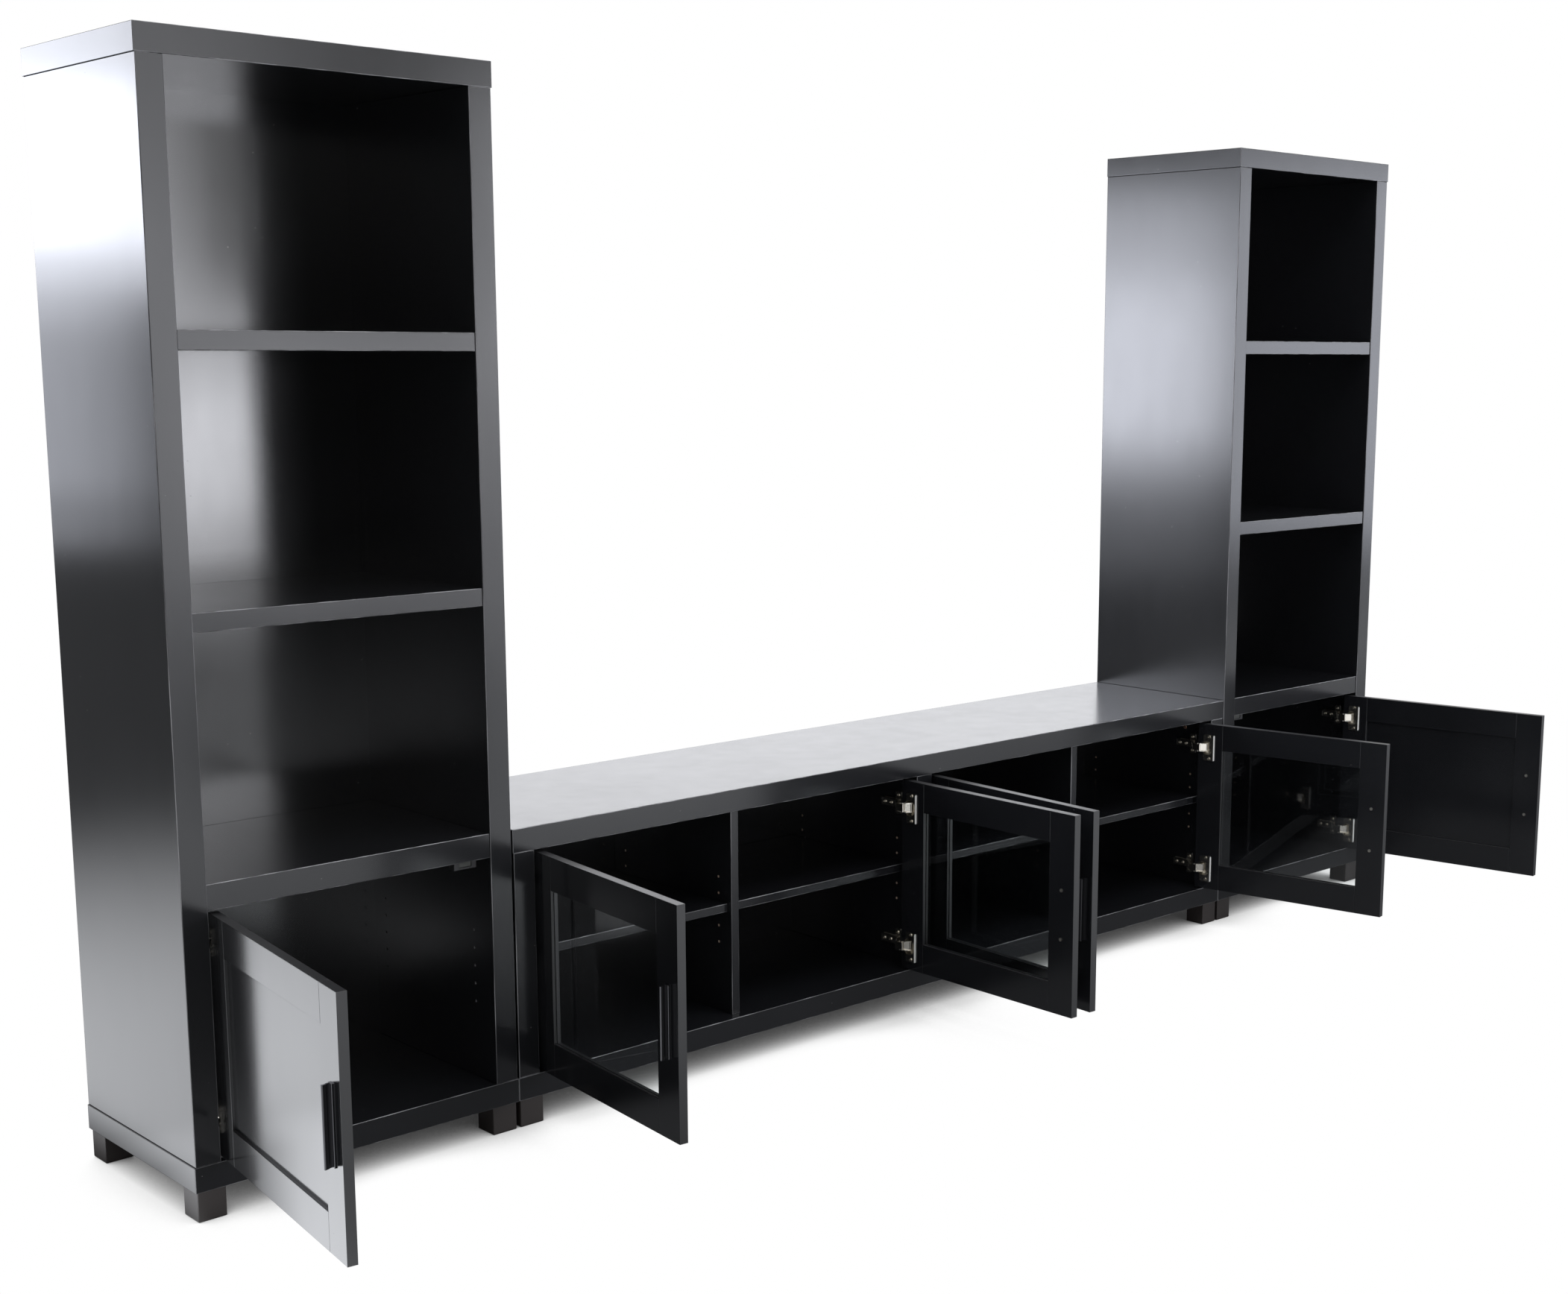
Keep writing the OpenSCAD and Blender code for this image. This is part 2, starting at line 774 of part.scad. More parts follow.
hung_cups(LEFT_TOWER);  // left_tower_door_hinge_cups
hung_frame(RIGHT_TOWER);  // right_tower_door_frame
hung_panel(RIGHT_TOWER);  // right_tower_door_panel
hung_handle(RIGHT_TOWER);  // right_tower_door_handle
hung_cups(RIGHT_TOWER);  // right_tower_door_hinge_cups
hung_frame(GLASS_1);  // glass_door_1_frame
hung_pane(GLASS_1);  // glass_door_1_pane
hung_handle(GLASS_1);  // glass_door_1_handle
hung_cups(GLASS_1);  // glass_door_1_hinge_cups
hung_frame(GLASS_2);  // glass_door_2_frame
hung_pane(GLASS_2);  // glass_door_2_pane
hung_handle(GLASS_2);  // glass_door_2_handle
hung_cups(GLASS_2);  // glass_door_2_hinge_cups
hung_frame(GLASS_3);  // glass_door_3_frame
hung_pane(GLASS_3);  // glass_door_3_pane
hung_handle(GLASS_3);  // glass_door_3_handle
hung_cups(GLASS_3);  // glass_door_3_hinge_cups
hung_frame(GLASS_4);  // glass_door_4_frame
hung_pane(GLASS_4);  // glass_door_4_pane
hung_handle(GLASS_4);  // glass_door_4_handle
hung_cups(GLASS_4);  // glass_door_4_hinge_cups
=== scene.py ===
import math

import bmesh
import bpy
from mathutils import Matrix, Vector


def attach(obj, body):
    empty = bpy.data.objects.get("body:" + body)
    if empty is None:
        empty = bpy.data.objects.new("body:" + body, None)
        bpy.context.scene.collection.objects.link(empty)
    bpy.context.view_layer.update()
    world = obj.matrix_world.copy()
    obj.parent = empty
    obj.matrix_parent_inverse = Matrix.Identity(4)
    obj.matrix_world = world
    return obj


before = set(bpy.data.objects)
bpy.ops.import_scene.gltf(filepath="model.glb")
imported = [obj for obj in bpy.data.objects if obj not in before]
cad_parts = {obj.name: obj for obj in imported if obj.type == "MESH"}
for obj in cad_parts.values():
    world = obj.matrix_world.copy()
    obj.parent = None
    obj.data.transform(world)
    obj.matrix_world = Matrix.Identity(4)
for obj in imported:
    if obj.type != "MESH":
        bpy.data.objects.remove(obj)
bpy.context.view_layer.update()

# Camera: a person standing left of the wall unit, eyes 1.33 m above the floor,
# looks down a little and across the low cabinet to the far tower.
image_width, image_height = 2103, 1736
film_width = 36
focal_length = 2803.8
optical_centre = (1155.6, 959.5)
eye = Vector((-2.9687, -2.8874, 1.3326))
heading, tilt, lean = math.radians(43.561), math.radians(-9.725), math.radians(0.101)
ahead = Vector((math.sin(heading) * math.cos(tilt), math.cos(heading) * math.cos(tilt), math.sin(tilt)))
across = Vector((math.cos(heading), -math.sin(heading), 0))
upward = across.cross(ahead)
across, upward = (
    across * math.cos(lean) + upward * math.sin(lean),
    upward * math.cos(lean) - across * math.sin(lean),
)
lens = bpy.data.cameras.new("viewer")
lens.sensor_width = film_width
lens.lens = focal_length / image_width * film_width
lens.shift_x = (image_width / 2 - optical_centre[0]) / image_width
lens.shift_y = (optical_centre[1] - image_height / 2) / image_width
viewer = bpy.data.objects.new("viewer", lens)
viewer.matrix_world = Matrix.Translation(eye) @ Matrix((across, upward, -ahead)).transposed().to_4x4()
bpy.context.scene.collection.objects.link(viewer)
bpy.context.scene.camera = viewer
bpy.context.scene.view_settings.view_transform = "Standard"

# Studio room: white surroundings. In the lacquer they show brighter above the horizon than
# below it, as a pale room does that gets darker near the floor.


def feed(tree, value, socket):
    if isinstance(value, bpy.types.NodeSocket):
        tree.links.new(value, socket)
    else:
        socket.default_value = value


def reckon(tree, operation, *terms):
    step = tree.nodes.new("ShaderNodeMath")
    step.operation = operation
    for term, socket in zip(terms, step.inputs):
        feed(tree, term, socket)
    return step.outputs[0]


def grade(tree, measure, start, end, at_start, at_end, eased=False):
    ramp = tree.nodes.new("ShaderNodeMapRange")
    if eased:
        ramp.interpolation_type = "SMOOTHSTEP"
    ramp.inputs["From Min"].default_value = start
    ramp.inputs["From Max"].default_value = end
    ramp.inputs["To Min"].default_value = at_start
    ramp.inputs["To Max"].default_value = at_end
    tree.links.new(measure, ramp.inputs["Value"])
    return ramp.outputs["Result"]


def blend(tree, share, first, second, kind):
    mix = tree.nodes.new("ShaderNodeMix")
    mix.data_type = kind
    first_input, second_input, mixed = {"FLOAT": (2, 3, 0), "RGBA": (6, 7, 2)}[kind]
    feed(tree, share, mix.inputs[0])
    feed(tree, first, mix.inputs[first_input])
    feed(tree, second, mix.inputs[second_input])
    return mix.outputs[mixed]


surroundings = bpy.data.worlds.new("studio_room")
bpy.context.scene.world = surroundings
surroundings.use_nodes = True
tree = surroundings.node_tree
tree.nodes.clear()
sight = tree.nodes.new("ShaderNodeLightPath").outputs
direction = tree.nodes.new("ShaderNodeTexCoord")
parts = tree.nodes.new("ShaderNodeSeparateXYZ")
tree.links.new(direction.outputs["Generated"], parts.inputs[0])
height = parts.outputs["Z"]
mirrored_room = grade(tree, height, start=0.0, end=0.25, at_start=0.06, at_end=1.0, eased=True)
plain_light, plain_white = 0.42, 1.0
room_light = blend(tree, sight["Is Glossy Ray"], plain_light, mirrored_room, "FLOAT")
straight_through = reckon(tree, "MAXIMUM", sight["Is Camera Ray"], sight["Is Transmission Ray"])
backdrop_light = blend(tree, straight_through, room_light, plain_white, "FLOAT")
glow = tree.nodes.new("ShaderNodeBackground")
glow.inputs["Color"].default_value = (1, 1, 1, 1)
tree.links.new(backdrop_light, glow.inputs["Strength"])
sky = tree.nodes.new("ShaderNodeOutputWorld")
tree.links.new(glow.outputs[0], sky.inputs["Surface"])

# Softboxes: flat studio lamps behind white cloth, on stands round the wall unit. They light
# it softly, and the black lacquer mirrors them as pale areas with soft edges.


def softbox(name, place, aim, width, height, radiance, tint):
    lamp = bpy.data.lights.new(name, "AREA")
    lamp.shape = "RECTANGLE"
    lamp.size, lamp.size_y = width, height
    lamp.energy = radiance * math.pi * width * height
    lamp.color = tint
    holder = bpy.data.objects.new(name, lamp)
    holder.location = place
    holder.rotation_euler = (Vector(aim) - Vector(place)).to_track_quat("-Z", "Y").to_euler()
    holder.visible_camera = False
    holder.visible_transmission = False
    bpy.context.scene.collection.objects.link(holder)


def softbox_column(name, place, aim, width, tint, bands):
    # each band is the height of its foot, the height of its top, and how bright it is
    for number, (foot, top, radiance) in enumerate(bands):
        middle = (foot + top) / 2
        softbox(f"{name}_{number}", (*place, middle), (*aim, middle), width, top - foot, radiance, tint)


daylight, cool, neutral = (0.93, 0.945, 1.0), (0.87, 0.9, 1.0), (0.935, 0.945, 1.0)
softbox("right_softbox", (5.8, -3.1, 1.38), (1.2, 0.1, 1.28), 2.4, 1.9, 4.1, cool)
softbox("rear_softbox", (3.6, 4.9, 1.9), (0.6, 0.2, 0.6), 5.4, 1.5, 1.45, daylight)
softbox("overhead_softbox", (0.0, -0.9, 3.8), (0.0, 0.0, 0.0), 3.4, 2.6, 2.4, daylight)
# columns in front: they show on the towers' front edges and in the open bays
softbox_column(
    "front_left", (0.37, -4.1), (-1.13, -0.1), 1.07, neutral,
    bands=((0.55, 1.1, 2.9), (1.1, 1.55, 3.3)),
)
softbox_column(
    "front_high", (0.31, -4.12), (-1.19, -0.12), 0.95, neutral,
    bands=((1.55, 1.75, 4.7), (1.75, 1.95, 3.5), (1.95, 2.7, 2.5)),
)
softbox_column("front_low", (0.05, -4.2), (-1.45, -0.2), 0.5, neutral, bands=((0.0, 0.55, 2.6),))
softbox_column(
    "front_right", (1.73, -3.59), (0.23, 0.41), 0.65, neutral,
    bands=((0.05, 0.75, 2.7), (0.75, 1.2, 3.9), (1.2, 2.35, 6.2)),
)
softbox_column(
    "front_bright", (0.93, -3.85), (-1.4, 0.4), 0.66, neutral,
    bands=((0.5, 0.72, 1.7), (0.72, 1.28, 5.2)),
)
softbox_column("front_middle", (1.12, -3.8), (-0.4, 0.2), 0.5, neutral, bands=((1.28, 1.5, 4.4),))
softbox_column("front_sill", (0.95, -3.9), (-0.55, 0.1), 1.2, neutral, bands=((0.36, 0.5, 2.8),))
# columns behind the console: they show on the two towers' left sides
softbox_column(
    "left_tower", (-2.13, 1.85), (-1.33, 0.35), 0.52, cool,
    bands=((0.9, 1.02, 1.5), (1.02, 1.4, 2.55), (1.4, 1.48, 3.6)),
)
softbox_column(
    "left_tower_top", (-2.2, 1.81), (-1.4, 0.31), 0.66, cool,
    bands=((1.48, 1.57, 5.5), (1.57, 1.94, 10.5), (1.94, 2.3, 6.2)),
)
softbox_column(
    "right_tower", (-0.71, 1.76), (1.05, 0.31), 0.69, cool,
    bands=((0.6, 0.9, 1.6), (0.9, 1.02, 6.0), (1.02, 1.2, 15.0), (1.2, 1.6, 14.5), (1.6, 1.9, 8.5)),
)

# Floor: a pale, matt studio floor that shows plain white, with a painted soft shadow close to
# the cabinets. The lacquer mirrors a painted glow of it, as bright as each part of it would be lit:
# most in front of the unit and left of the left tower, little close to the cabinets and behind them.


def apart(tree, place, spot):
    span = tree.nodes.new("ShaderNodeVectorMath")
    span.operation = "DISTANCE"
    span.inputs[1].default_value = spot
    tree.links.new(place, span.inputs[0])
    return span.outputs["Value"]


def either_shader(tree, share, first, second):
    choice = tree.nodes.new("ShaderNodeMixShader")
    tree.links.new(share, choice.inputs[0])
    tree.links.new(first, choice.inputs[1])
    tree.links.new(second, choice.inputs[2])
    return choice.outputs[0]


floor_reach = 14
mesh = bmesh.new()
bmesh.ops.create_grid(mesh, x_segments=1, y_segments=1, size=floor_reach)
floor_mesh = bpy.data.meshes.new("studio_floor")
mesh.to_mesh(floor_mesh)
mesh.free()
floor = bpy.data.objects.new("studio_floor", floor_mesh)
bpy.context.scene.collection.objects.link(floor)
pale = bpy.data.materials.new("studio_floor")
pale.use_nodes = True
tree = pale.node_tree
tree.nodes.clear()
sight = tree.nodes.new("ShaderNodeLightPath").outputs
place = tree.nodes.new("ShaderNodeTexCoord").outputs["Object"]
shelter = tree.nodes.new("ShaderNodeAmbientOcclusion")
shelter.samples = 24
shelter.inputs["Distance"].default_value = 0.32
shadow = grade(tree, shelter.outputs["AO"], start=0.05, end=0.62, at_start=0.03, at_end=1.0)
parts = tree.nodes.new("ShaderNodeSeparateXYZ")
tree.links.new(place, parts.inputs[0])
sideways, back = parts.outputs["X"], parts.outputs["Y"]
# the front floor: bright from 1.5 m in front of the cabinets, less to the right, dark beyond
# the softboxes, and dark in a round that the left tower's lowest open bay mirrors
fall_off = grade(tree, back, start=-2.8, end=-0.15, at_start=2.1, at_end=0.17, eased=True)
to_the_right = grade(tree, sideways, start=1.0, end=2.0, at_start=1.0, at_end=0.6)
beyond = grade(tree, back, start=-4.0, end=-3.5, at_start=0.1, at_end=1.0, eased=True)
from_round = apart(tree, place, (0.37, -3.0, 0))
dark_round = grade(tree, from_round, start=0.3, end=0.8, at_start=0.05, at_end=1.0, eased=True)
front_light = reckon(tree, "MULTIPLY", fall_off, to_the_right)
front_floor = reckon(tree, "MULTIPLY", front_light, reckon(tree, "MULTIPLY", beyond, dark_round))
shaded = reckon(tree, "MULTIPLY", front_floor, reckon(tree, "POWER", shadow, 1.8))
# the floor left of the left tower, brightest next to its front foot, which its open door
# mirrors, and dark in the slanting strip of shade along its base
from_patch = apart(tree, place, (-1.95, 0.75, 0))
patch_light = grade(tree, from_patch, start=0.1, end=2.9, at_start=2.7, at_end=0.0, eased=True)
from_foot = apart(tree, place, (-1.68, 0.0, 0))
foot_light = grade(tree, from_foot, start=0.3, end=0.9, at_start=3.4, at_end=0.0, eased=True)
slant = reckon(tree, "MULTIPLY_ADD", reckon(tree, "MINIMUM", back, 0.3), 0.2, sideways)
strip = grade(tree, slant, start=-1.66, end=-1.56, at_start=1.0, at_end=0.0)
left_light = reckon(tree, "MULTIPLY", reckon(tree, "MAXIMUM", patch_light, foot_light), strip)
mirrored = tree.nodes.new("ShaderNodeEmission")
mirrored.inputs["Color"].default_value = (0.94, 0.96, 1.0, 1)
tree.links.new(reckon(tree, "MAXIMUM", shaded, left_light), mirrored.inputs["Strength"])
lit = tree.nodes.new("ShaderNodeBsdfDiffuse")
lit.inputs["Color"].default_value = (0.8, 0.8, 0.8, 1)
white = tree.nodes.new("ShaderNodeEmission")
tree.links.new(shadow, white.inputs["Strength"])
# a pane seen in the lacquer shows the mirrored floor, and one seen directly the white one
after_mirror = reckon(tree, "MINIMUM", sight["Glossy Depth"], 1)
through_glass = reckon(tree, "MULTIPLY", after_mirror, sight["Is Transmission Ray"])
mirror_ray = reckon(tree, "MAXIMUM", sight["Is Glossy Ray"], through_glass)
unmirrored = reckon(tree, "SUBTRACT", sight["Is Transmission Ray"], through_glass)
straight_through = reckon(tree, "MAXIMUM", sight["Is Camera Ray"], unmirrored)
unseen = either_shader(tree, mirror_ray, lit.outputs[0], mirrored.outputs[0])
out = tree.nodes.new("ShaderNodeOutputMaterial")
seen = either_shader(tree, straight_through, unseen, white.outputs[0])
tree.links.new(seen, out.inputs["Surface"])
floor.data.materials.append(pale)

# Tower and cabinet boards: fibreboard sprayed with black satin lacquer and bolted together.
# The film has a fine orange peel, a slight waviness over each board, small changes in sheen
# and a few specks of dust, and its rounded front edges carry a painted highlight, paler in patches.


def noise(tree, place, scale, detail=2):
    texture = tree.nodes.new("ShaderNodeTexNoise")
    texture.inputs["Scale"].default_value = scale
    texture.inputs["Detail"].default_value = detail
    tree.links.new(place, texture.inputs["Vector"])
    return texture.outputs["Fac"]


def relief(tree, height, strength, depth):
    bump = tree.nodes.new("ShaderNodeBump")
    bump.inputs["Strength"].default_value = strength
    bump.inputs["Distance"].default_value = depth
    tree.links.new(height, bump.inputs["Height"])
    return bump


def touch_up(tree, coat, share, colour=None, sheen=None):
    # puts another colour or sheen over the coat's present one, where share is 1
    for socket, value, kind in (("Roughness", sheen, "FLOAT"), ("Base Color", colour, "RGBA")):
        if value is not None:
            present = coat.inputs[socket].links[0].from_socket
            tree.links.new(blend(tree, share, present, value, kind), coat.inputs[socket])


def lacquer(name, colour, sheen, ior=1.55, painted_edge_highlight=False):
    finish = bpy.data.materials.new(name)
    finish.use_nodes = True
    tree = finish.node_tree
    film = tree.nodes["Principled BSDF"]
    film.inputs["IOR"].default_value = ior
    place = tree.nodes.new("ShaderNodeTexCoord").outputs["Object"]
    cloud = noise(tree, place, scale=7, detail=4)
    upright = tree.nodes.new("ShaderNodeMapping")
    upright.inputs["Scale"].default_value = (1, 1, 0.25)
    tree.links.new(place, upright.inputs["Vector"])
    smears = noise(tree, upright.outputs["Vector"], scale=22, detail=3)
    haze = reckon(tree, "ADD", cloud, smears)
    rough = grade(tree, haze, start=0.7, end=1.3, at_start=sheen - 0.012, at_end=sheen + 0.012)
    darker, paler = (*[c * 0.85 for c in colour], 1), (*[c * 1.15 for c in colour], 1)
    tree.links.new(blend(tree, cloud, darker, paler, "RGBA"), film.inputs["Base Color"])
    tree.links.new(rough, film.inputs["Roughness"])
    # single specks of dust, about a millimetre wide and 10 cm or more apart
    motes = tree.nodes.new("ShaderNodeTexVoronoi")
    motes.inputs["Scale"].default_value = 30
    tree.links.new(place, motes.inputs["Vector"])
    dust = reckon(tree, "LESS_THAN", motes.outputs["Distance"], 0.02)
    touch_up(tree, film, dust, colour=(0.2, 0.195, 0.185, 1), sheen=0.8)
    if painted_edge_highlight:
        # a board's rounded front edges are its faces that look half to the front; they get a painted
        # highlight, a paler colour in patches, where the front lamps catch them
        surface = tree.nodes.new("ShaderNodeNewGeometry")
        facing = tree.nodes.new("ShaderNodeSeparateXYZ")
        tree.links.new(surface.outputs["True Normal"], facing.inputs[0])
        rounded = reckon(tree, "COMPARE", facing.outputs["Y"], -0.57, 0.41)
        highlight_patches = grade(tree, smears, start=0.42, end=0.62, at_start=0.2, at_end=1.0)
        touch_up(tree, film, reckon(tree, "MULTIPLY", rounded, highlight_patches), colour=(0.3, 0.3, 0.31, 1))
    orange_peel = noise(tree, place, scale=520)
    waviness = noise(tree, place, scale=9, detail=1)
    wavy = relief(tree, waviness, strength=0.1, depth=0.001)
    fine = relief(tree, orange_peel, strength=0.05, depth=0.0004)
    tree.links.new(wavy.outputs["Normal"], fine.inputs["Normal"])
    tree.links.new(fine.outputs["Normal"], film.inputs["Normal"])
    return finish


def dress(finish, *names):
    for name in names:
        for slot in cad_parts[name].material_slots:
            slot.material = finish


black = (0.0095, 0.010, 0.0115)
board_lacquer = lacquer("black_board_lacquer", black, sheen=0.2, painted_edge_highlight=True)
tower_boards = ("top", "outer_side", "inner_side", "open_shelves", "fixed_shelf", "base")
for side in ("left", "right"):
    dress(board_lacquer, *[f"{side}_tower_{board}" for board in tower_boards])
console_walls = ("left_side", "right_side", "divider", "left_partition", "right_partition")
dress(board_lacquer, *[f"console_{board}" for board in ("top", *console_walls, "base", "shelves")])

# Back panels: thin hardboard with a smoother, glossier black film than the boards have. Each
# sheet is let into rebates round the back of its cabinet.
panel_lacquer = lacquer("black_back_panel", (0.0055, 0.006, 0.007), sheen=0.16, ior=2.0)
dress(panel_lacquer, "left_tower_back", "right_tower_back", "console_back")

# Feet: square wooden blocks under the corners of each cabinet's base, lacquered duller than
# the boards and in a warmer, browner black.
foot_lacquer = lacquer("brown_black_foot", (0.03, 0.0245, 0.0225), sheen=0.45)
dress(foot_lacquer, "left_tower_feet", "right_tower_feet", "console_feet")

# Door frames and the tower doors' panels: lacquered stiles and rails round a thinner panel.
# Their narrow faces are sprayed edge grain, a little paler and much duller than the flat ones.
# Each door is listed with the x of its hinge axis, its open angle and the way it is hung.


def along(tree, vector, way):
    reach = tree.nodes.new("ShaderNodeVectorMath")
    reach.operation = "DOT_PRODUCT"
    reach.inputs[1].default_value = way
    tree.links.new(vector, reach.inputs[0])
    return reach.outputs["Value"]


door_swings = {
    "left_tower_door": (-1.543, 97.5, 1),
    "glass_door_1": (-0.9425, 96.0, 1),
    "glass_door_2": (-0.0345, 89.5, -1),
    "glass_door_3": (0.0345, 93.0, 1),
    "glass_door_4": (0.9425, 100.0, -1),
    "right_tower_door": (1.543, 99.0, -1),
}
axis_y = 0.0555614
# for each open door: a point on its axis, the way its leaf runs, and the way its back looks
hung = {}
for door, (axis_x, opened, hand) in door_swings.items():
    turn = math.radians(opened)
    leaf = Vector((hand * math.cos(turn), -math.sin(turn), 0))
    rearward = Vector((hand * math.sin(turn), math.cos(turn), 0))
    hung[door] = (Vector((axis_x, axis_y, 0)), leaf, rearward)
glass_doors = [door for door in hung if door.startswith("glass")]
for door, (axis, leaf, rearward) in hung.items():
    door_lacquer = lacquer(f"{door}_black_lacquer", black, sheen=0.17)
    tree = door_lacquer.node_tree
    film = tree.nodes["Principled BSDF"]
    normal = tree.nodes.new("ShaderNodeTexCoord").outputs["Normal"]
    flat = reckon(tree, "ABSOLUTE", along(tree, normal, rearward))
    edge_grain = reckon(tree, "LESS_THAN", flat, 0.7)
    touch_up(tree, film, edge_grain, colour=(0.021, 0.0215, 0.0225, 1), sheen=0.36)
    dress(door_lacquer, f"{door}_frame")
    if door not in glass_doors:
        dress(door_lacquer, f"{door}_panel")

# Door glass: 4 mm panes of lightly smoked glass, each held in the groove of its frame. The
# tint changes a little across a pane, and the surface is smooth.
pane = bpy.data.materials.new("smoked_glass")
pane.use_nodes = True
tree = pane.node_tree
glass = tree.nodes["Principled BSDF"]
glass.inputs["Transmission Weight"].default_value = 1
glass.inputs["IOR"].default_value = 1.5
glass.inputs["Roughness"].default_value = 0.02
ripple = noise(tree, tree.nodes.new("ShaderNodeTexCoord").outputs["Object"], scale=6)
tint = blend(tree, ripple, (0.88, 0.91, 0.91, 1), (0.93, 0.95, 0.95, 1), "RGBA")
tree.links.new(tint, glass.inputs["Base Color"])
for door in glass_doors:
    dress(pane, f"{door}_pane")

# Hinges and shelf pins: stamped steel with a bright nickel plating. The hinges' arms and
# cross plates are screwed to the cabinets' walls, and the pins are pushed into their holes.


def plated(name, colour, sheen, grain_scale=900):
    finish = bpy.data.materials.new(name)
    finish.use_nodes = True
    tree = finish.node_tree
    metal = tree.nodes["Principled BSDF"]
    metal.inputs["Metallic"].default_value = 1
    place = tree.nodes.new("ShaderNodeTexCoord").outputs["Object"]
    grain = noise(tree, place, grain_scale, detail=3)
    rough = grade(tree, grain, start=0, end=1, at_start=sheen - 0.03, at_end=sheen + 0.04)
    tree.links.new(rough, metal.inputs["Roughness"])
    darker = (*[c * 0.9 for c in colour], 1)
    tree.links.new(blend(tree, grain, darker, (*colour, 1), "RGBA"), metal.inputs["Base Color"])
    dents = relief(tree, grain, strength=0.03, depth=0.0001)
    tree.links.new(dents.outputs["Normal"], metal.inputs["Normal"])
    return finish


nickel_colour, nickel_sheen = (0.84, 0.8, 0.72), 0.24
nickel = plated("nickel_plate", nickel_colour, nickel_sheen)
dress(nickel, "left_tower_hinge_arms", "right_tower_hinge_arms", "console_hinge_arms", "console_shelf_pins")

# Hinge cups: pressed and plated with their flange, and sunk in the door's stile. The flange's
# far edge is turned up, and this lip is painted a pale, dull, unmetallic white as a painted highlight.
lip_start = 0.0286
for door, (axis, leaf, rearward) in hung.items():
    cup_metal = plated(f"{door}_cup_nickel", nickel_colour, nickel_sheen)
    tree = cup_metal.node_tree
    metal = tree.nodes["Principled BSDF"]
    place = tree.nodes.new("ShaderNodeTexCoord").outputs["Object"]
    # the lip gets a painted highlight: pale white, dull and not metallic
    lip_highlight = reckon(tree, "GREATER_THAN", along(tree, place, leaf), leaf.dot(axis) + lip_start)
    touch_up(tree, metal, lip_highlight, colour=(0.95, 0.94, 0.9, 1), sheen=0.55)
    tree.links.new(reckon(tree, "SUBTRACT", 1, lip_highlight), metal.inputs["Metallic"])
    dress(cup_metal, f"{door}_hinge_cups")

# Handles: a wave-shaped strip of dark, satin-coated metal with a round bead on its lip, held
# by two nickel-plated screws. Their heads stand on the door's back, so all metal of the piece
# that lies behind the plane of the back is nickel.
back_plane = 0.0104
for door, (axis, leaf, rearward) in hung.items():
    handle_metal = plated(f"{door}_handle_metal", (0.11, 0.11, 0.115), sheen=0.3, grain_scale=1400)
    tree = handle_metal.node_tree
    metal = tree.nodes["Principled BSDF"]
    place = tree.nodes.new("ShaderNodeTexCoord").outputs["Object"]
    depth = along(tree, place, rearward)
    behind = reckon(tree, "GREATER_THAN", depth, rearward.dot(axis) + back_plane)
    touch_up(tree, metal, behind, colour=(0.5, 0.48, 0.44, 1))
    dress(handle_metal, f"{door}_handle")

# Bolt caps: small pressed copper-coloured caps high on the console's end walls, pushed over
# the bolts that tie the top to the walls.
copper = plated("copper_cap", (0.62, 0.34, 0.22), sheen=0.32)
dress(copper, "console_bolt_caps")

# Magnetic catches: a black moulded body screwed under the tower's fixed shelf, with a dull
# steel pole plate round the magnet in its window.
moulded = bpy.data.materials.new("black_moulded_catch")
moulded.use_nodes = True
tree = moulded.node_tree
plastic = tree.nodes["Principled BSDF"]
plastic.inputs["Roughness"].default_value = 0.42
place = tree.nodes.new("ShaderNodeTexCoord").outputs["Object"]
grain = noise(tree, place, scale=800)
black_plastic = blend(tree, grain, (0.017, 0.017, 0.018, 1), (0.026, 0.026, 0.027, 1), "RGBA")
stipple = relief(tree, grain, strength=0.15, depth=0.0003)
tree.links.new(stipple.outputs["Normal"], plastic.inputs["Normal"])
# both catches stand equally far from the middle of the unit, so one mirrored place serves
window_middle, half_width, half_height = (1.0825, 0, 0.4855), 0.0117, 0.0042
folded = tree.nodes.new("ShaderNodeVectorMath")
folded.operation = "ABSOLUTE"
tree.links.new(place, folded.inputs[0])
from_middle = tree.nodes.new("ShaderNodeVectorMath")
from_middle.operation = "SUBTRACT"
from_middle.inputs[1].default_value = window_middle
tree.links.new(folded.outputs[0], from_middle.inputs[0])
either_way = tree.nodes.new("ShaderNodeVectorMath")
either_way.operation = "ABSOLUTE"
tree.links.new(from_middle.outputs[0], either_way.inputs[0])
offset = tree.nodes.new("ShaderNodeSeparateXYZ")
tree.links.new(either_way.outputs[0], offset.inputs[0])
near_x = reckon(tree, "LESS_THAN", offset.outputs["X"], half_width)
near_z = reckon(tree, "LESS_THAN", offset.outputs["Z"], half_height)
pole = reckon(tree, "MULTIPLY", near_x, near_z)
steel = (0.05, 0.052, 0.046, 1)
tree.links.new(blend(tree, pole, black_plastic, steel, "RGBA"), plastic.inputs["Base Color"])
dress(moulded, "left_tower_catch", "right_tower_catch")

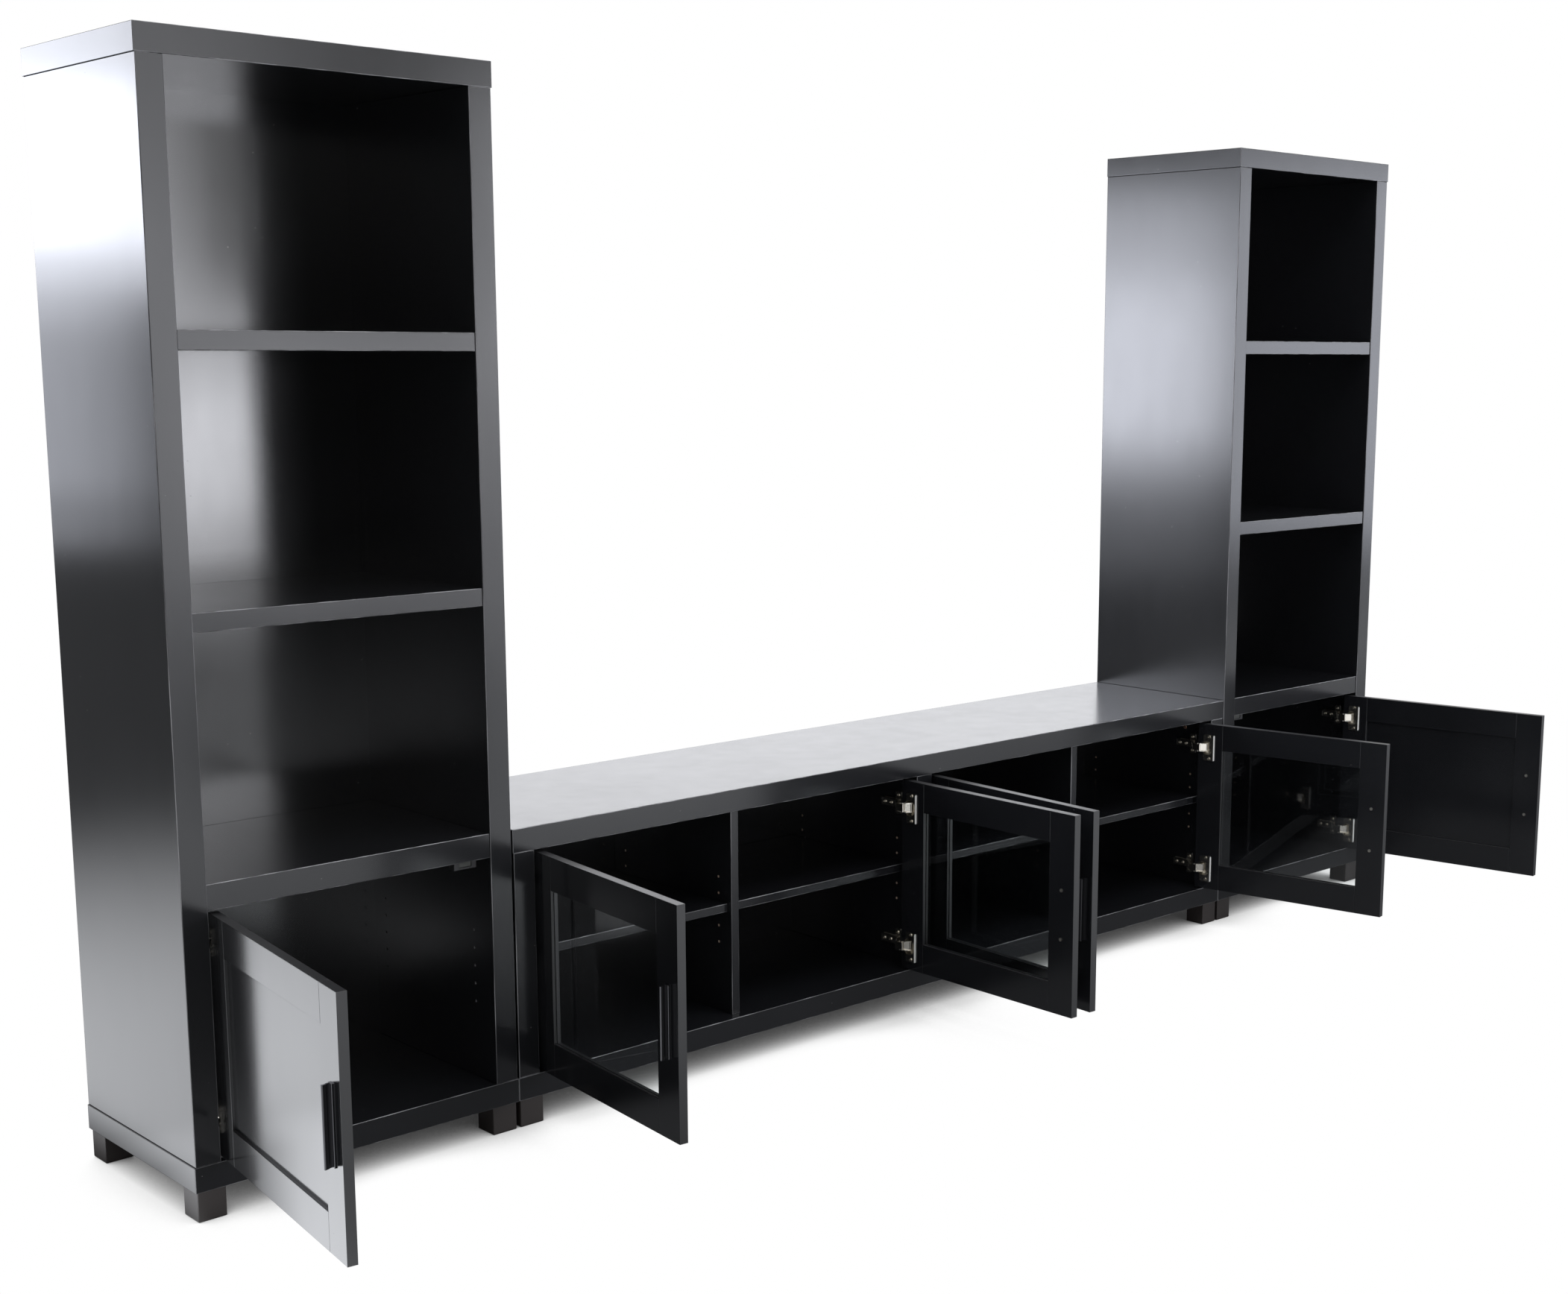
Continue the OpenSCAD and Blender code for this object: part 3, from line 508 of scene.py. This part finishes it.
# Shelf-pin holes: drilled after the boards were lacquered, so their walls are bare, pale
# brown fibreboard. A thin cup of it lines every hole of the console that holds no pin.
fibreboard = bpy.data.materials.new("bare_fibreboard")
fibreboard.use_nodes = True
tree = fibreboard.node_tree
fibre = tree.nodes["Principled BSDF"]
fibre.inputs["Roughness"].default_value = 0.85
flecks = noise(tree, tree.nodes.new("ShaderNodeTexCoord").outputs["Object"], scale=1500, detail=3)
wood = blend(tree, flecks, (0.42, 0.31, 0.21, 1), (0.66, 0.54, 0.4, 1), "RGBA")
tree.links.new(wood, fibre.inputs["Base Color"])
torn = relief(tree, flecks, strength=0.4, depth=0.0003)
tree.links.new(torn.outputs["Normal"], fibre.inputs["Normal"])
hole_radius, hole_depth, lining_wall, lining_step_back = 0.00246, 0.0078, 0.0002, 0.0001
hole_rows = (0.1060614, 0.3970614)
hole_levels = (0.229, 0.261, 0.325, 0.357)
# the walls' faces by their x, and the way that each looks
hole_walls = (
    (-0.956, 1), (-0.4975, -1), (-0.4795, 1), (-0.021, -1),
    (0.021, 1), (0.4795, -1), (0.4975, 1), (0.956, -1),
)
linings = bmesh.new()
for wall_x, way in hole_walls:
    lying = Matrix.Rotation(way * math.pi / 2, 3, "Y")
    middle_x = wall_x - way * (hole_depth / 2 + lining_step_back)
    for row in hole_rows:
        for level in hole_levels:
            cup = bmesh.new()
            bmesh.ops.create_cone(
                cup, cap_ends=True, segments=24, radius1=hole_radius, radius2=hole_radius, depth=hole_depth
            )
            mouth = max(cup.faces, key=lambda face: face.calc_center_median().z)
            bmesh.ops.inset_region(cup, faces=[mouth], thickness=lining_wall)
            bmesh.ops.translate(cup, verts=mouth.verts, vec=(0, 0, lining_wall - hole_depth))
            bmesh.ops.rotate(cup, verts=cup.verts, cent=(0, 0, 0), matrix=lying)
            bmesh.ops.translate(cup, verts=cup.verts, vec=(middle_x, row, level))
            lining = bpy.data.meshes.new("lining")
            cup.to_mesh(lining)
            cup.free()
            linings.from_mesh(lining)
            bpy.data.meshes.remove(lining)
lining_mesh = bpy.data.meshes.new("console_pin_hole_linings")
linings.to_mesh(lining_mesh)
linings.free()
lining_piece = bpy.data.objects.new("console_pin_hole_linings", lining_mesh)
bpy.context.scene.collection.objects.link(lining_piece)
lining_mesh.materials.append(fibreboard)
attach(lining_piece, "root")
